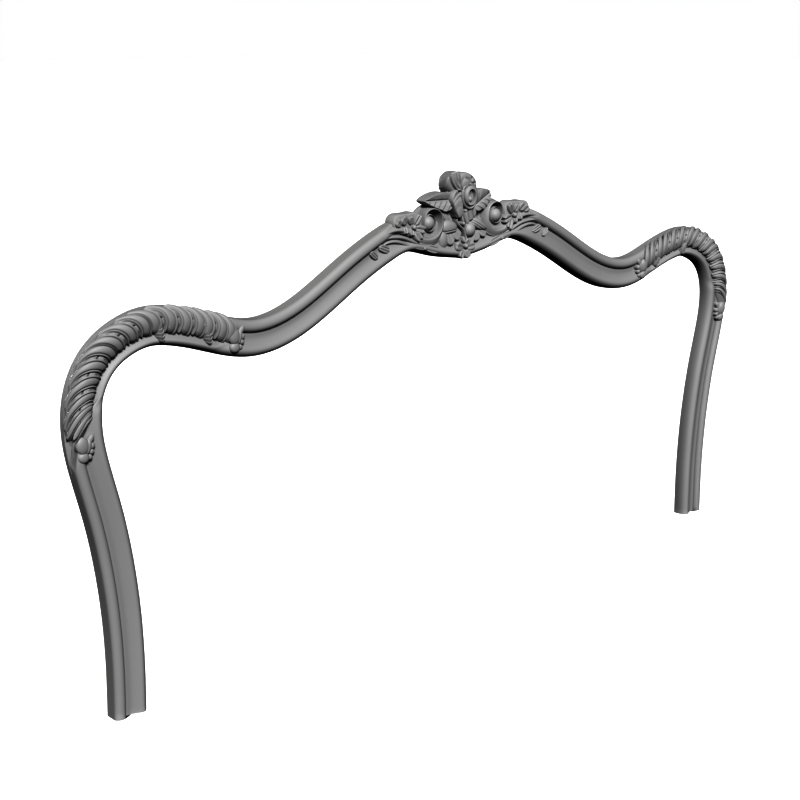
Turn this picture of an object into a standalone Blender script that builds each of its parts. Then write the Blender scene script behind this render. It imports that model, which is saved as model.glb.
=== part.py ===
"""Carved backrest onlay: one waved hardwood rail with rope-carved shoulders and a rose crest.

Metres, +Z up, the carved front towards -Y and the flat back on y = 0. The origin is on the back,
in the middle of the crown. The left half is worked out and the right half is its mirror image,
apart from the rose group, which leans to the left as it is carved.
"""

from math import cos, pi, radians, sin, tau

import bmesh
import bpy
import numpy as np

# The piece as a whole
SPAN = 1.400                 # foot to foot, over the outer sides
CROWN = 0.640                # the origin above the feet
RAIL_WIDTH = 0.057
CHORD_ERROR = 0.0006         # how far a straight facet may leave the rail's curve

# The centre line of the left half, from the foot to the crown: how far it lies out from the middle,
# and its height over the feet
HALF_LINE = (
    (SPAN / 2 - RAIL_WIDTH / 2, 0.000),   # foot
    (0.670, 0.075),
    (0.672, 0.150),
    (0.681, 0.240),
    (0.6945, 0.315),
    (0.709, 0.375),
    (0.7185, 0.430),                      # widest point of the shoulder
    (0.7140, 0.485),
    (0.6890, 0.531),
    (0.6433, 0.5600),
    (0.6070, 0.5675),                     # top of the shoulder
    (0.5767, 0.5648),
    (0.5064, 0.5454),
    (0.4351, 0.5272),                     # bottom of the dip
    (0.3697, 0.5362),
    (0.3056, 0.5648),
    (0.2418, 0.6013),
    (0.1758, 0.6340),
    (0.1150, 0.6500),                     # shoulder of the crown
    (0.0600, 0.6385),
    (0.0000, 0.6275),                     # low point of the crown
)

# Rope carving on the shoulders
ROPE_FROM = (0.7150, 0.398)  # place on the centre line where it starts
ROPE_TO = (0.4740, 0.535)    # and where it ends
RIBS = 13
FACETS_PER_RIB = 4
ROPE_GIRTH = 0.056           # from the outer side over the rope to its inner edge
RIB_ADVANCE = 0.042          # how far a rib runs along the rail while it crosses the rope
RIB_DEPTH = 0.0050
ROPE_CORE = (0.019, 0.012)   # the middle of the rope: from the outer side, and over the back
ROPE_RUN_IN = 0.060

# Where the rail turns into the ground of the crown
CROWN_FROM = 0.225
CROWN_RUN_IN = 0.050

# Outlines of the rail's cross-section: distance from the outer side, height over the back.
# Each starts on the back's outer corner and ends on its inner corner, and each point of one outline
# moves to the same point of the next where the rail changes.
PLAIN_SECTION = (
    (0.0, 0.0), (0.0, 20.0), (2.2, 23.8), (6.0, 26.0), (10.5, 26.5), (15.0, 25.0), (17.6, 21.5),
    (18.8, 19.4), (23.0, 18.9), (29.5, 18.9), (36.0, 20.4), (41.0, 23.4), (45.5, 26.4),
    (50.0, 25.4), (54.5, 21.8), (57.0, 17.0), (57.0, 0.0),
)
ROPE_SECTION = (
    (0.0, 0.0), (-1.0, 12.5), (-1.2, 18.5), (1.6, 24.5), (7.0, 29.0), (13.5, 31.2), (20.0, 31.2),
    (26.5, 29.2), (32.0, 25.6), (36.0, 21.4), (38.5, 19.0), (42.0, 22.4), (46.0, 26.0),
    (50.0, 25.4), (54.5, 21.8), (57.0, 17.0), (57.0, 0.0),
)
CROWN_SECTION = (
    (0.0, 0.0), (0.0, 13.0), (2.0, 15.5), (5.0, 16.5), (10.0, 17.0), (15.0, 17.0), (18.5, 17.0),
    (21.5, 17.0), (25.0, 17.2), (30.0, 17.8), (36.0, 19.6), (41.0, 22.6), (45.5, 25.4),
    (50.0, 24.8), (54.5, 21.4), (57.0, 16.5), (57.0, 0.0),
)
MILLIMETRE = 0.001

# Scrolls of the crest, one on each side
SCROLL_OUT = 0.075           # centre, out from the middle
SCROLL_UP = 0.668            # centre, over the feet
SCROLL_RADIUS = 0.0245       # to the middle of the band's first turn
SCROLL_EYE = 0.0115          # to the middle of the band's last turn
SCROLL_TURN = 1.45           # turns from the tail to the eye
BAND_WIDTH = 0.0105
BAND_TOP = 0.0275
BALL_RADIUS = 0.0085

# What counts as one flat face once the pieces are joined
FLAT_ANGLE = radians(1.2)

# Colour of the satin grey paint
PAINT = (0.215, 0.215, 0.215, 1.0)
PAINT_ROUGHNESS = 0.45


def smoothstep(value):
    """0 below 0, 1 above 1, with a smooth rise between."""
    t = np.clip(value, 0.0, 1.0)
    return t * t * (3 - 2 * t)


class Curve:
    """A natural cubic curve through points of a plane, read by its length from the first point."""

    def __init__(self, points):
        self.points = np.array(points, float)
        steps = np.linalg.norm(np.diff(self.points, axis=0), axis=1)
        self.knots = np.concatenate(([0.0], np.cumsum(steps)))
        self.bends = self.solve_bends()
        fine = np.linspace(0.0, self.knots[-1], 2000)
        run = np.linalg.norm(np.diff(self.at_knot(fine), axis=0), axis=1)
        self.fine = fine
        self.lengths = np.concatenate(([0.0], np.cumsum(run)))

    def solve_bends(self):
        """Second derivatives at the knots, 0 at both ends."""
        h = np.diff(self.knots)
        count = len(self.knots)
        matrix = np.eye(count)
        right = np.zeros((count, 2))
        slopes = np.diff(self.points, axis=0) / h[:, None]
        for k in range(1, count - 1):
            matrix[k, k - 1:k + 2] = h[k - 1], 2 * (h[k - 1] + h[k]), h[k]
            right[k] = 6 * (slopes[k] - slopes[k - 1])
        return np.linalg.solve(matrix, right)

    def at_knot(self, t):
        k = np.clip(np.searchsorted(self.knots, t, side="right") - 1, 0, len(self.knots) - 2)
        h = (self.knots[k + 1] - self.knots[k])[:, None]
        a = (self.knots[k + 1] - t)[:, None] / h
        b = 1 - a
        bend = ((a ** 3 - a) * self.bends[k] + (b ** 3 - b) * self.bends[k + 1]) * h * h / 6
        return a * self.points[k] + b * self.points[k + 1] + bend

    def at(self, length):
        length = np.atleast_1d(np.asarray(length, float))
        return self.at_knot(np.interp(length, self.lengths, self.fine))

    def normal(self, length):
        """The direction to the left of the way along the curve."""
        step = 0.0005
        way = self.at(np.minimum(length + step, self.total)) - self.at(np.maximum(length - step, 0.0))
        way /= np.linalg.norm(way, axis=1)[:, None]
        return np.stack((-way[:, 1], way[:, 0]), axis=1)

    def nearest(self, point):
        """The length at which the curve passes nearest to a point."""
        gap = np.linalg.norm(self.at_knot(self.fine) - np.array(point), axis=1)
        return self.lengths[gap.argmin()]

    @property
    def total(self):
        return self.lengths[-1]


def make_mesh(name, vertices, faces):
    """A closed mesh in triangles, with its faces turned outwards."""
    mesh = bpy.data.meshes.new(name)
    mesh.from_pydata([tuple(v) for v in vertices], [], faces)
    shape = bmesh.new()
    shape.from_mesh(mesh)
    bmesh.ops.remove_doubles(shape, verts=shape.verts, dist=0.00001)
    bmesh.ops.triangulate(shape, faces=shape.faces)
    bmesh.ops.recalc_face_normals(shape, faces=shape.faces)
    shape.to_mesh(mesh)
    shape.free()
    solid = bpy.data.objects.new(name, mesh)
    bpy.context.collection.objects.link(solid)
    return solid


def tube(name, rings):
    """A closed solid through rings of points, each ring closed on itself, with flat ends."""
    count, around = rings.shape[:2]
    faces = []
    for i in range(count - 1):
        for j in range(around):
            k = (j + 1) % around
            faces.append((i * around + j, i * around + k, (i + 1) * around + k, (i + 1) * around + j))
    faces.append(tuple(range(around - 1, -1, -1)))
    faces.append(tuple(range((count - 1) * around, count * around)))
    return make_mesh(name, rings.reshape(-1, 3), faces)


def place(out, up, height):
    """Points from their distance out from the middle, height over the feet and height over the back."""
    out, up, height = np.broadcast_arrays(out, up, height)
    return np.stack((out, -height, up - CROWN), axis=-1)


def rib_wave(phase):
    """Depth of the groove at a phase of a rib: 1 in the groove and 0 on the rib's round back."""
    return 1 - np.abs(np.sin(pi * phase)) ** 0.6


def ring_lengths(line, start, end):
    """Lengths of the rings: as far apart as the bend allows, and a few to each rib of the rope."""
    lengths = [0.0]
    while lengths[-1] < line.total:
        here = lengths[-1]
        before, at, after = line.at(np.clip((here - 0.01, here, here + 0.01), 0, line.total))
        bend = max(np.linalg.norm(before - 2 * at + after) / 0.0001, 0.5)
        step = (8 * CHORD_ERROR / bend) ** 0.5
        lengths.append(here + min(step, 0.045))
    plain = np.array(lengths)
    rope = np.linspace(start, end, RIBS * FACETS_PER_RIB + 1)
    pitch = rope[1] - rope[0]
    before = plain[plain < start - pitch]
    after = plain[(plain > end + pitch) & (plain < line.total - 0.008)]
    return np.concatenate((before, rope, after, [line.total]))


def half_rail():
    """Rings of the left half of the rail, from the foot to the middle of the crown.

    Over the shoulder a ring isn't square to the rail: it follows a rib, which starts along the outer
    side and turns across the face on a quarter of a wave. The foot is cut off level.
    """
    line = Curve([(-out, up) for out, up in HALF_LINE])
    start = line.nearest((-ROPE_FROM[0], ROPE_FROM[1]))
    end = line.nearest((-ROPE_TO[0], ROPE_TO[1])) - RIB_ADVANCE
    lengths = ring_lengths(line, start, end)
    plain, rope, crown = (np.array(s) * MILLIMETRE for s in (PLAIN_SECTION, ROPE_SECTION, CROWN_SECTION))
    girth = np.cumsum(np.linalg.norm(np.diff(rope, axis=0), axis=1)) - rope[1, 1]
    across = np.clip(np.concatenate(([0.0], girth)) / ROPE_GIRTH, 0.0, 1.0)
    advance = RIB_ADVANCE * np.sin(pi / 2 * across) ** 0.75
    to_core = np.array(ROPE_CORE) - rope
    to_core /= np.linalg.norm(to_core, axis=1)[:, None]
    carved = smoothstep(across / 0.2) * smoothstep((1 - across) / 0.12)
    lean = smoothstep((lengths - start + ROPE_RUN_IN) / ROPE_RUN_IN)
    lean *= smoothstep((end + 1.6 * ROPE_RUN_IN - lengths) / (1.6 * ROPE_RUN_IN))
    roped = smoothstep((lengths - start + 0.004) / 0.012) * smoothstep((end + 0.004 - lengths) / 0.012)
    s = lengths[:, None] + lean[:, None] * advance[None, :]
    phase = (lengths - start) / (end - start) * RIBS
    shape = plain + roped[:, None, None] * (rope - plain)
    cut = roped[:, None] * carved[None, :] * RIB_DEPTH * rib_wave(phase)[:, None]
    shape = shape + cut[..., None] * to_core
    out_now = -line.at(s.ravel())[:, 0].reshape(s.shape)
    crowned = smoothstep((CROWN_FROM - out_now) / CROWN_RUN_IN)[..., None]
    shape = shape + crowned * (crown - shape)
    centre = line.at(s.ravel()).reshape(s.shape + (2,))
    normal = line.normal(s.ravel()).reshape(s.shape + (2,))
    point = centre + normal * (RAIL_WIDTH / 2 - shape[..., 0])[..., None]
    point[0, :, 1] = 0.0
    point[-1, :, 0] = 0.0
    return place(point[..., 0], point[..., 1], shape[..., 1])


def rail():
    """The whole rail: the left half, and its mirror image carried on from the crown."""
    left = half_rail()
    right = left[-2::-1] * np.array((-1.0, 1.0, 1.0))
    return tube("rail", np.concatenate((left, right)))


def relief(name, centre, radii, height, turn=0.0, back=0.002, spokes=16, rings=3, outline=None):
    """A block with a straight wall, a flat back and a carved front, all around its centre.

    radii are its reach along and across; outline(angle) scales them, and height(share, angle) is the
    front's height over the back plane at a share of the way to the edge.
    """
    angles = np.arange(spokes) * tau / spokes
    scale = np.ones(spokes) if outline is None else outline(angles)
    along = radii[0] * scale * np.cos(angles)
    aside = radii[1] * scale * np.sin(angles)
    c, s = cos(radians(turn)), sin(radians(turn))
    vertices = [place(centre[0], centre[1], height(0.0, 0.0))]
    for k in range(1, rings + 1):
        share = k / rings
        vertices += list(place(centre[0] + share * (along * c - aside * s),
                               centre[1] + share * (along * s + aside * c), height(share, angles)))
    vertices += list(place(centre[0] + along * c - aside * s, centre[1] + along * s + aside * c, back))
    faces = []
    for j in range(spokes):
        k = (j + 1) % spokes
        faces.append((0, 1 + j, 1 + k))
        for i in range(rings):
            low, high = 1 + i * spokes, 1 + (i + 1) * spokes
            faces.append((low + j, high + j, high + k, low + k))
    faces.append(tuple(range(1 + rings * spokes, 1 + (rings + 1) * spokes)))
    return make_mesh(name, vertices, faces)


def strip(name, points, widths, tops, section, back=0.002, samples=10):
    """A carved strip along a curve: section gives points across, as shares of its width and height."""
    line = Curve(points)
    along = np.linspace(0.0, 1.0, samples)
    centre = line.at(along * line.total)
    normal = line.normal(along * line.total)
    width = np.interp(along, np.linspace(0, 1, len(widths)), widths)[:, None]
    top = np.interp(along, np.linspace(0, 1, len(tops)), tops)[:, None]
    across, rise = np.array(section).T
    point = centre[:, None, :] + normal[:, None, :] * (width * across[None, :])[..., None]
    height = np.where(rise[None, :] > 0, top * rise[None, :], back)
    return tube(name, place(point[..., 0], point[..., 1], height))


# Across a leaf with a sunk midrib, and across a round stalk
LEAF_ACROSS = ((-0.5, 0.0), (-0.5, 0.86), (-0.27, 1.0), (0.0, 0.84), (0.27, 1.0), (0.5, 0.86), (0.5, 0.0))
ROUND_ACROSS = ((-0.5, 0.0), (-0.5, 0.84), (-0.22, 1.0), (0.22, 1.0), (0.5, 0.84), (0.5, 0.0))


def leaf(name, root, tip, width, tops, sag=0.0, samples=7):
    """A pointed leaf from its root to its tip, bent sideways by sag."""
    root, tip = np.array(root), np.array(tip)
    way = tip - root
    side = np.array((-way[1], way[0])) / np.linalg.norm(way)
    middle = (root + tip) / 2 + side * sag
    widths = width * np.array((0.30, 0.82, 1.0, 0.93, 0.72, 0.42, 0.10))
    return strip(name, (root, middle, tip), widths, tops, LEAF_ACROSS, samples=samples)


def flower(name, centre, radius, petals, rim, turn=0.0, squeeze=1.0, eye=(0.0, 0.0)):
    """An open flower: a notched outline, hollow petals and a ball, moved off the middle by eye."""
    def outline(angle):
        return 0.84 + 0.16 * np.abs(np.cos(petals * angle / 2)) ** 0.5

    def height(share, angle):
        fold = np.abs(np.cos(petals * angle / 2)) ** 0.5
        return rim - 0.005 * (1 - fold) - 0.0045 * (1 - share)

    disc = relief(name, centre, (radius, radius * squeeze), height, turn=turn, spokes=4 * petals,
                  rings=2, outline=outline)
    seat = (centre[0] + eye[0], centre[1] + eye[1])
    return [disc, ball(name + "_eye", seat, radius * 0.2, rim + 0.002)]


def ball(name, centre, radius, top, spokes=8):
    """A ball that stands half out of the carving."""
    def height(share, angle):
        return top - radius * (1 - np.sqrt(np.maximum(1 - share ** 2, 0.0)))
    return relief(name, centre, (radius, radius), height, back=0.004, spokes=spokes, rings=2)


def dome(name, centre, radii, rim, top, turn=0.0, spokes=12, back=0.002, cup=0.0):
    """A rounded petal or bud, with its front hollowed by cup in the middle."""
    def height(share, angle):
        return rim + (top - rim) * np.sqrt(np.maximum(1 - share ** 2, 0.0)) - cup * (1 - share ** 2)
    return relief(name, centre, radii, height, turn=turn, spokes=spokes, rings=2, back=back)


def scroll_line(side):
    """The band of a scroll: its tail lies along the rail, runs under the scroll and curls over it."""
    tail = [(0.222, 0.626), (0.186, 0.6465), (0.150, 0.6535), (0.118, 0.6455), (0.096, 0.6400)]
    points = [(side * out, up) for out, up in tail]
    for turned in np.arange(0.0, SCROLL_TURN + 0.01, 0.125):
        share = turned / SCROLL_TURN
        radius = SCROLL_RADIUS * 1.12 + (SCROLL_EYE - SCROLL_RADIUS * 1.12) * share ** 1.5
        angle = -pi / 2 - turned * tau
        points.append((side * (SCROLL_OUT + radius * cos(angle)), SCROLL_UP + radius * sin(angle)))
    return points


def scroll(side, mark):
    """One scroll of the crest: a sunk drum, the band that curls on it and the ball in its eye."""
    def floor(share, angle):
        return 0.0150
    centre = (side * SCROLL_OUT, SCROLL_UP)
    reach = SCROLL_RADIUS * 1.02
    drum = relief("drum_" + mark, centre, (reach, reach), floor, spokes=16, rings=1, back=0.0012)
    line = scroll_line(side)
    widths = [0.006, 0.011, 0.012, 0.011, 0.011] + [BAND_WIDTH] * 9 + [BAND_WIDTH * 0.6]
    tops = [0.024, 0.0265, 0.0275, 0.0265, 0.0265] + [BAND_TOP] * 9 + [BAND_TOP * 0.9]
    band = strip("band_" + mark, line, widths, tops, ROUND_ACROSS, back=0.0016, samples=30)
    return [drum, band, ball("eye_" + mark, centre, BALL_RADIUS, 0.0255)]


def ground():
    """The sunk ground behind the rose and the buds."""
    def height(share, angle):
        return 0.0135
    return relief("ground", (0.0, 0.670), (0.056, 0.036), height, spokes=20, rings=1, back=0.0008)


def rose():
    """The rose: five spread petals, a curled ring of inner petals and the bud in it."""
    petals = [
        dome("petal_top_left", (-0.0275, 0.7265), (0.0215, 0.0200), 0.0285, 0.0300, turn=-20, cup=0.007),
        dome("petal_top_right", (0.0000, 0.7275), (0.0205, 0.0195), 0.0290, 0.0320, turn=15, cup=0.006,
             back=0.0017),
        dome("petal_low_left", (-0.0255, 0.6915), (0.0240, 0.0175), 0.0280, 0.0300, turn=-80, cup=0.007,
             back=0.0014),
        dome("petal_low_right", (0.0035, 0.6850), (0.0180, 0.0185), 0.0285, 0.0320, turn=-60, cup=0.006,
             back=0.0011),
        dome("petal_right", (0.0170, 0.7040), (0.0150, 0.0180), 0.0260, 0.0280, cup=0.004, back=0.0025),
    ]

    def ring(share, angle):
        return 0.0365 - 0.011 * np.exp(-(share / 0.45) ** 2) - 0.004 * share ** 4
    heart = relief("heart", (0.001, 0.705), (0.0165, 0.0180), ring, spokes=14, rings=3, back=0.0022)
    return petals + [heart, ball("bud", (0.001, 0.7035), 0.0062, 0.0340)]


def buds():
    """The rosebuds under the rose, with their sepals, the stalk between them and the lowest flower."""
    parts = [
        dome("bud_left", (-0.0365, 0.6540), (0.0155, 0.0125), 0.0210, 0.0295, turn=10),
        leaf("sepal_left_a", (-0.0400, 0.6500), (-0.0150, 0.6290), 0.014, (0.024, 0.025, 0.018)),
        leaf("sepal_left_b", (-0.0440, 0.6520), (-0.0540, 0.6240), 0.017, (0.023, 0.025, 0.018), sag=-0.002),
        dome("bud_right", (0.0130, 0.6490), (0.0125, 0.0120), 0.0220, 0.0310),
        dome("hood_right", (0.0300, 0.6560), (0.0150, 0.0105), 0.0215, 0.0285, turn=-15, back=0.0026),
        leaf("sepal_right_a", (0.0230, 0.6500), (0.0340, 0.6230), 0.016, (0.023, 0.026, 0.018), sag=0.002),
        leaf("sepal_right_b", (0.0300, 0.6500), (0.0510, 0.6310), 0.014, (0.022, 0.024, 0.017)),
        strip("stalk", ((-0.022, 0.672), (-0.010, 0.650), (-0.004, 0.628)), (0.007, 0.006, 0.008),
              (0.024, 0.026, 0.024), ROUND_ACROSS, back=0.003, samples=5),
    ]
    return parts + flower("low_flower", (-0.001, 0.6175), 0.0205, 5, 0.0285, turn=90, squeeze=0.78)


def crest():
    """All that stands on the crown."""
    parts = [ground()] + rose() + buds()
    parts.append(leaf("rose_leaf_left", (-0.0300, 0.6930), (-0.0900, 0.7010), 0.031, (0.022, 0.027, 0.020),
                      sag=0.003))
    parts.append(leaf("rose_leaf_right", (0.0120, 0.6780), (0.0610, 0.7070), 0.025, (0.022, 0.026, 0.020),
                      sag=-0.003))
    for side, mark in ((-1, "left"), (1, "right")):
        parts += scroll(side, mark)
        parts += flower("spray_" + mark, (side * 0.1170, 0.6645), 0.0285, 5, 0.0275,
                        turn=90 - side * 80, squeeze=0.85)
        parts.append(leaf("shell_" + mark, (side * 0.058, 0.6190), (side * 0.090, 0.6290), 0.013,
                          (0.026, 0.028, 0.025), samples=5))
        parts.append(leaf("sprig_a_" + mark, (side * 0.166, 0.6285), (side * 0.190, 0.6420), 0.010,
                          (0.022, 0.024, 0.021), samples=5))
        parts.append(leaf("sprig_b_" + mark, (side * 0.190, 0.6200), (side * 0.211, 0.6350), 0.010,
                          (0.022, 0.024, 0.021), samples=5))
    return parts


def shoulder_trim():
    """The flowers at both ends of each rope and the husks that hang on its inner side."""
    parts = []
    for side, mark in ((-1, "left"), (1, "right")):
        parts += flower("outer_flower_" + mark, (side * 0.7190, 0.4170), 0.0205, 5, 0.0300,
                        turn=90 - side * 100, squeeze=0.86, eye=(-side * 0.006, -0.001))
        parts += flower("inner_flower_" + mark, (side * 0.4620, 0.5345), 0.0205, 5, 0.0300,
                        turn=90 + side * 20, squeeze=0.86, eye=(-side * 0.006, -0.003))
        for k, (out, up) in enumerate(((0.5990, 0.5630), (0.5185, 0.5480))):
            tip = (side * (out - 0.005), up - 0.015)
            parts.append(leaf("husk_%d_%s" % (k + 1, mark), (side * (out + 0.004), up + 0.010), tip, 0.015,
                              (0.031, 0.032, 0.025), samples=5))
    return parts


def join(base, parts):
    """One solid from the rail and all that is carved on it."""
    group = bpy.data.collections.new("carving")
    for part in parts:
        bpy.context.collection.objects.unlink(part)
        group.objects.link(part)
    union = base.modifiers.new("union", "BOOLEAN")
    union.operation = "UNION"
    union.solver = "EXACT"
    union.operand_type = "COLLECTION"
    union.collection = group
    union.use_self = True
    graph = bpy.context.evaluated_depsgraph_get()
    mesh = bpy.data.meshes.new_from_object(base.evaluated_get(graph))
    base.modifiers.clear()
    base.data = mesh
    for part in parts:
        bpy.data.objects.remove(part)
    bpy.data.collections.remove(group)
    merge_flat_faces(mesh)
    return base


def merge_flat_faces(mesh):
    """Takes out the edges that the union left in flat faces."""
    shape = bmesh.new()
    shape.from_mesh(mesh)
    bmesh.ops.dissolve_limit(shape, angle_limit=FLAT_ANGLE, verts=shape.verts, edges=shape.edges)
    bmesh.ops.triangulate(shape, faces=shape.faces)
    shape.to_mesh(mesh)
    shape.free()


def grey_paint():
    """Satin grey paint on the carved wood."""
    paint = bpy.data.materials.new("grey_paint")
    paint.use_nodes = True
    shader = paint.node_tree.nodes["Principled BSDF"]
    shader.inputs["Base Color"].default_value = PAINT
    shader.inputs["Roughness"].default_value = PAINT_ROUGHNESS
    shader.inputs["Metallic"].default_value = 0.0
    return paint


def main():
    for old in list(bpy.data.objects):
        bpy.data.objects.remove(old)
    onlay = join(rail(), crest() + shoulder_trim())
    onlay.name = "backrest_onlay"
    onlay.data.name = "backrest_onlay"
    onlay.data.materials.clear()
    onlay.data.materials.append(grey_paint())
    onlay.data.shade_smooth()
    onlay.data.set_sharp_from_angle(angle=radians(35))
    print("triangles", sum(len(p.vertices) - 2 for p in onlay.data.polygons))


main()
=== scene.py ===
# %% [markdown]
# # A carved backrest onlay
# The real piece is the show frame of a settee's back: one long waved rail of hardwood, flat behind
# and carved in front. Its legs are plain mouldings, its shoulders are carved as thick ropes, and a
# rose between two scrolls stands on its crown. The whole is painted in one satin grey.
#
# This lesson carves it again as surfaces worked out with numpy. The imported solids are the frame
# that all of it has to fit, so they are loaded first.

# %% The imported frame
from math import pi, radians, tau

import bmesh
import bpy
import numpy as np
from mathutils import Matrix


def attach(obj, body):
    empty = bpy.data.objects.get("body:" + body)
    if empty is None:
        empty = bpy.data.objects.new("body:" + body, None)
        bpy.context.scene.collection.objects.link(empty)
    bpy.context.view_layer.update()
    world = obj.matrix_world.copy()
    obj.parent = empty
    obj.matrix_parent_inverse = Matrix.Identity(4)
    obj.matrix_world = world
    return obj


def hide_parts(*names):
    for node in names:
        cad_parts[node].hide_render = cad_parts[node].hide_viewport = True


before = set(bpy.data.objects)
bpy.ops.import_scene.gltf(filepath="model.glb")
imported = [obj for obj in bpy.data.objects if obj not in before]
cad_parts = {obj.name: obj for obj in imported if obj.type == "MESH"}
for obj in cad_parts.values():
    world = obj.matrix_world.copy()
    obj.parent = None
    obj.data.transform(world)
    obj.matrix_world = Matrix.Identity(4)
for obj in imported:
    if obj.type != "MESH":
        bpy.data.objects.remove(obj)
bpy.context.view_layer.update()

# %% [markdown]
# A carver works from a flat board: so far out from the middle, so far up from the cut feet, and so
# high over the flat back. The lesson keeps these three measures and turns them into x, y and z in
# one place. The origin lies on the back in the middle of the crown, and the carving faces -y.

# %% From the carver's measures to the frame
CROWN = 0.64       # the origin above the cut feet, in metres
MM = 0.001


def place(out, up, height):
    """x = out, y = -height, z = up - CROWN, for whole arrays at once."""
    out, up, height = np.broadcast_arrays(out, up, height)
    return np.stack((out, -height, up - CROWN), axis=-1)


def smoothstep(value):
    """t * t * (3 - 2t) for t from 0 to 1: a soft step from 0 to 1."""
    t = np.clip(value, 0, 1)
    return t * t * (3 - 2 * t)


def round_top(t, fullness=2):
    """sqrt(1 - |t| ^ fullness): a half round over t from -1 to 1, squarer as fullness grows."""
    return np.sqrt(np.clip(1 - np.abs(t) ** fullness, 0, 1))


def bell(value, middle, spread):
    """exp(-((value - middle) / spread) squared): 1 in the middle, and nearly 0 two spreads away."""
    return np.exp(-((value - middle) / spread) ** 2)


# %% [markdown]
# The rail's centre line, the edges of the petals and the stalks are all drawn as a carver would
# bend a thin batten: smoothly through a few marks. A batten takes the shape of a natural cubic
# spline. Blender has curve objects too, but a curve as a formula can be read at thousands of
# places at once, which whole-array surfaces need.

# %% A bent batten
class Batten:
    """A natural cubic through marks in the plane, read by its length.

    Between marks p and q, a share b of the way along, a point is a * p + b * q, with a = 1 - b,
    plus ((a cubed - a) * P + (b cubed - b) * Q) * gap squared / 6, P and Q being the bends there.
    """

    STEPS = 3000     # points at which the length is summed up

    def __init__(self, marks):
        self.marks = np.array(marks, float)
        gaps = np.linalg.norm(np.diff(self.marks, axis=0), axis=1)
        self.knots = np.concatenate(([0], np.cumsum(gaps)))
        self.bends = self.solve(gaps)
        self.fine = np.linspace(0, self.knots[-1], self.STEPS)
        steps = np.linalg.norm(np.diff(self.read(self.fine), axis=0), axis=1)
        self.lengths = np.concatenate(([0], np.cumsum(steps)))
        self.total = self.lengths[-1]

    def solve(self, gaps):
        """The bends that make the slopes meet at every mark, and are 0 at both ends."""
        count = len(self.knots)
        matrix = np.eye(count)
        inner = np.arange(1, count - 1)
        matrix[inner, inner - 1] = gaps[:-1]
        matrix[inner, inner] = 2 * (gaps[:-1] + gaps[1:])
        matrix[inner, inner + 1] = gaps[1:]
        slopes = np.diff(self.marks, axis=0) / gaps[:, None]
        right = np.zeros((count, 2))
        right[1:-1] = 6 * np.diff(slopes, axis=0)
        return np.linalg.solve(matrix, right)

    def read(self, knot):
        """Points at distances counted along the straight lines from mark to mark."""
        k = np.clip(np.searchsorted(self.knots, knot, side="right") - 1, 0, len(self.knots) - 2)
        gap = (self.knots[k + 1] - self.knots[k])[..., None]
        b = (knot - self.knots[k])[..., None] / gap
        a = 1 - b
        bend = ((a ** 3 - a) * self.bends[k] + (b ** 3 - b) * self.bends[k + 1]) * gap * gap / 6
        return a * self.marks[k] + b * self.marks[k + 1] + bend

    def at(self, length):
        """Points at lengths along the bent batten itself."""
        return self.read(np.interp(length, self.lengths, self.fine))

    def left(self, length):
        """The unit vector to the left of the way along: the way turned by a quarter."""
        step = 0.5 * MM
        ahead = self.at(np.minimum(length + step, self.total))
        way = ahead - self.at(np.maximum(length - step, 0))
        way /= np.linalg.norm(way, axis=-1)[..., None]
        return np.stack((-way[..., 1], way[..., 0]), axis=-1)

    def nearest(self, mark):
        """The length at which the batten passes nearest to a mark."""
        return self.lengths[np.linalg.norm(self.read(self.fine) - np.array(mark), axis=1).argmin()]


def graded(values, share):
    """A smooth value from a few evenly spaced ones: a batten through (0, v0), (1, v1) and so on."""
    line = Batten(list(enumerate(values)))
    across, up = line.read(np.linspace(0, line.knots[-1], 400)).T
    return np.interp(share * (len(values) - 1), across, up)


half_marks = [
    (-0.6715, 0), (-0.67, 0.075), (-0.672, 0.15), (-0.681, 0.24), (-0.6945, 0.315),
    (-0.709, 0.375), (-0.7185, 0.43), (-0.714, 0.485), (-0.689, 0.531), (-0.6433, 0.56),
    (-0.607, 0.5675), (-0.5767, 0.5648), (-0.5064, 0.5454), (-0.4351, 0.5272), (-0.3697, 0.5362),
    (-0.3056, 0.5648), (-0.2418, 0.6013), (-0.1758, 0.634), (-0.115, 0.65), (-0.06, 0.6385),
    (0, 0.6275),
]
half_line = Batten(half_marks)
print("the rail is", round(2 * half_line.total, 3), "m long on its centre line")

# %% [markdown]
# Every piece of this carving is either a bar of changing section, such as the rail, a rope or a
# stalk, or a block carved round a middle, such as a petal, a leaf or a ball. Both are closed
# shells: rings of points, one after another, with a cap at each end. So one helper makes all
# meshes. It fills them from arrays, joins the points that lie on each other at seams and poles,
# and turns all faces outwards.

# %% One helper for every mesh
SHARP = radians(40)
SEAM = 0.002 * MM         # points nearer than this are joined
SMOOTHINGS = 6            # times that the mean of the neighbours is taken
FULL_GROOVE = 1.2 * MM    # a groove this deep counts as full
ONLAY = "backrest_onlay"
pieces = []


def grid_quads(rows, columns, first):
    """Quad (i, j) joins point i * columns + j to its neighbours in the next row and column."""
    index = first + np.arange(rows * columns).reshape(rows, columns)
    corners = (index[:-1, :-1], index[:-1, 1:], index[1:, 1:], index[1:, :-1])
    return np.stack(corners, axis=-1).reshape(-1, 4)


def fill_mesh(mesh, points, quads):
    """Puts all points and quads into a mesh in one go."""
    mesh.vertices.add(len(points))
    mesh.vertices.foreach_set("co", points.ravel())
    mesh.loops.add(quads.size)
    mesh.loops.foreach_set("vertex_index", quads.ravel().astype(np.int32))
    mesh.polygons.add(len(quads))
    mesh.polygons.foreach_set("loop_start", np.arange(0, quads.size, 4, dtype=np.int32))
    mesh.update(calc_edges=True)


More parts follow.
